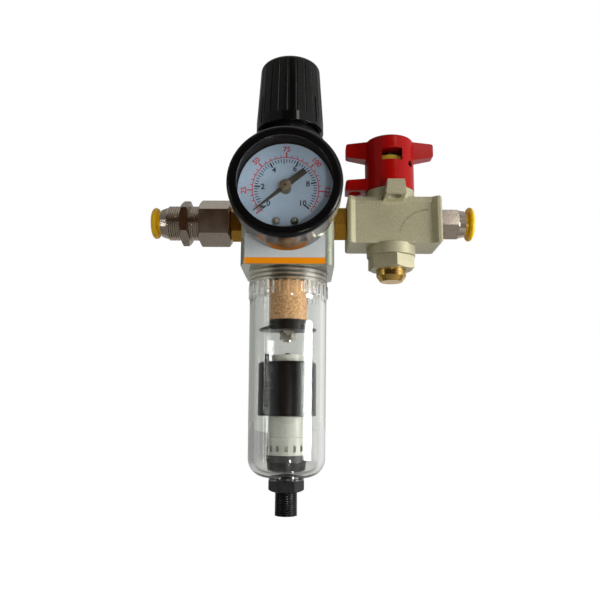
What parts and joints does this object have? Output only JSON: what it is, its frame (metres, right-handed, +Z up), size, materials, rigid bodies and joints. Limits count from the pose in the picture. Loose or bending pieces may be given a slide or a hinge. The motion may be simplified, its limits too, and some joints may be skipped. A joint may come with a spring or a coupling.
{
  "type": "air pressure regulator",
  "caption": "Air filter-regulator with a knob, front gauge, clear bowl with automatic drain, bulkhead push-in inlet, and a lock-out valve with a winged handle on its outlet.",
  "frame": {"origin": "seat of the panel thread: where the regulator's vertical axis meets the shoulder under the thread", "axes": "+Z up along the regulator's axis towards the knob, +X along the ports towards the outlet, -Y towards the gauge"},
  "size_m": [0.149, 0.076, 0.2092],
  "materials": {
    "cast_body": "silver-grey paint on a die casting",
    "label": "light grey film with an orange stripe",
    "zinc": "zinc-plated",
    "black_plastic": "moulded, fine grain",
    "float_plastic": "moulded foam skin",
    "knob_plastic": "moulded, satin gloss",
    "spring_steel": "drawn wire and pressed strip",
    "aluminium": "turned",
    "rubber": "moulded",
    "brass": "machined",
    "element": "sintered grains",
    "clear_bowl": "clear polycarbonate",
    "white_plastic": "moulded",
    "gauge_case": "bright pressed steel",
    "bezel": "black enamel",
    "lens": "clear",
    "dial": "printed matt paint",
    "pointer": "black paint",
    "nickel": "nickel-plated",
    "yellow_plastic": "moulded",
    "valve_cast": "champagne paint on a die casting",
    "red_plastic": "moulded",
    "dark_steel": "black oxide"
  },
  "bodies": {
    "regulator": {"regulator_body": "cast_body", "front_label": "label", "rear_port_plug": "zinc", "bonnet": "black_plastic", "bonnet_screws": "zinc", "regulating_spring": "spring_steel", "diaphragm": "rubber", "valve_spring": "spring_steel", "valve_guide": "brass", "element_deflector": "black_plastic", "filter_element": "element", "element_retainer": "black_plastic", "element_stud": "zinc", "bowl_seal": "rubber", "bowl": "clear_bowl", "drain_guide_tube": "white_plastic", "drain_housing": "white_plastic", "drain_base_seal": "rubber", "drain_spigot": "black_plastic", "drain_nut": "black_plastic", "gauge_socket": "brass", "gauge_case": "gauge_case", "gauge_bezel": "bezel", "gauge_lens": "lens", "gauge_dial": "dial", "gauge_dial_screws": "zinc", "gauge_stop_pin": "zinc", "gauge_movement_plates": "brass", "gauge_bourdon_tube": "brass", "inlet_nipple": "brass", "bulkhead_connector": "nickel", "bulkhead_nut": "nickel", "inlet_collet": "spring_steel", "inlet_tube_seal": "rubber", "outlet_nipple": "brass", "shutoff_body": "valve_cast", "shutoff_indicator": "yellow_plastic", "shutoff_spring": "spring_steel", "exhaust_plug": "valve_cast", "exhaust_silencer": "brass", "outlet_connector": "nickel", "outlet_collet": "spring_steel", "outlet_tube_seal": "rubber"},
    "adjuster": {"adjusting_screw": "zinc"},
    "knob": {"adjusting_knob": "knob_plastic"},
    "spring_seat": {"spring_seat": "zinc"},
    "diaphragm_plate": {"diaphragm_plate": "aluminium"},
    "valve_stem": {"valve_stem": "brass"},
    "pointer": {"gauge_pointer": "pointer", "gauge_pinion": "brass"},
    "sector": {"gauge_sector": "brass"},
    "inlet_collar": {"inlet_collar": "yellow_plastic"},
    "outlet_collar": {"outlet_collar": "yellow_plastic"},
    "handle": {"shutoff_handle": "red_plastic", "shutoff_stem": "aluminium", "handle_detent_screw": "dark_steel"},
    "spool": {"shutoff_spool": "aluminium", "shutoff_seals": "rubber"},
    "float": {"drain_float": "float_plastic"}
  },
  "joints": [
    {"name": "adjust_turn", "type": "hinge", "parent": "regulator", "child": "adjuster", "pos_m": [0, 0, 0.0143], "axis": [0, 0, -1], "range_deg": [0, 2160]},
    {"name": "knob_pull", "type": "slide", "parent": "adjuster", "child": "knob", "axis": [0, 0, 1], "range_m": [0, 0.0025]},
    {"name": "spring_seat_slide", "type": "slide", "parent": "regulator", "child": "spring_seat", "axis": [0, 0, -1], "range_m": [0, 0.00601], "deforming": ["regulating_spring"]},
    {"name": "diaphragm_stroke", "type": "slide", "parent": "regulator", "child": "diaphragm_plate", "axis": [0, 0, -1], "range_m": [0, 0.0012], "stiffness_N_per_m": 2000, "deforming": ["diaphragm"]},
    {"name": "valve_stroke", "type": "slide", "parent": "regulator", "child": "valve_stem", "axis": [0, 0, -1], "range_m": [0, 0.00121], "deforming": ["valve_spring"]},
    {"name": "pointer_turn", "type": "hinge", "parent": "regulator", "child": "pointer", "pos_m": [0, -0.0506, -0.0297], "axis": [0, 1, 0], "range_deg": [0, 270], "stiffness_Nm_per_rad": 0.0004, "springref_deg": -5.73},
    {"name": "sector_turn", "type": "hinge", "parent": "regulator", "child": "sector", "pos_m": [0, -0.0398, -0.0393], "axis": [0, 1, 0], "range_deg": [-54.1, 0]},
    {"name": "inlet_release", "type": "slide", "parent": "regulator", "child": "inlet_collar", "axis": [1, 0, 0], "range_m": [0, 0.0012]},
    {"name": "outlet_release", "type": "slide", "parent": "regulator", "child": "outlet_collar", "axis": [-1, 0, 0], "range_m": [0, 0.0012]},
    {"name": "handle_turn", "type": "hinge", "parent": "regulator", "child": "handle", "pos_m": [0.0475, 0, -0.0047], "axis": [0, 0, 1], "range_deg": [0, 90]},
    {"name": "spool_slide", "type": "slide", "parent": "regulator", "child": "spool", "axis": [0, 0, -1], "range_m": [0, 0.00441], "deforming": ["shutoff_spring"]},
    {"name": "float_lift", "type": "slide", "parent": "regulator", "child": "float", "axis": [0, 0, 1], "range_m": [0, 0.0035]}
  ],
  "couplings": [
    {"joint": "spring_seat_slide", "follows": "adjust_turn", "m_per_rad": 0.00015915},
    {"joint": "valve_stroke", "follows": "diaphragm_stroke", "ratio": 1},
    {"joint": "sector_turn", "follows": "pointer_turn", "ratio": -0.2},
    {"joint": "spool_slide", "follows": "handle_turn", "m_per_rad": 0.0028011}
  ]
}
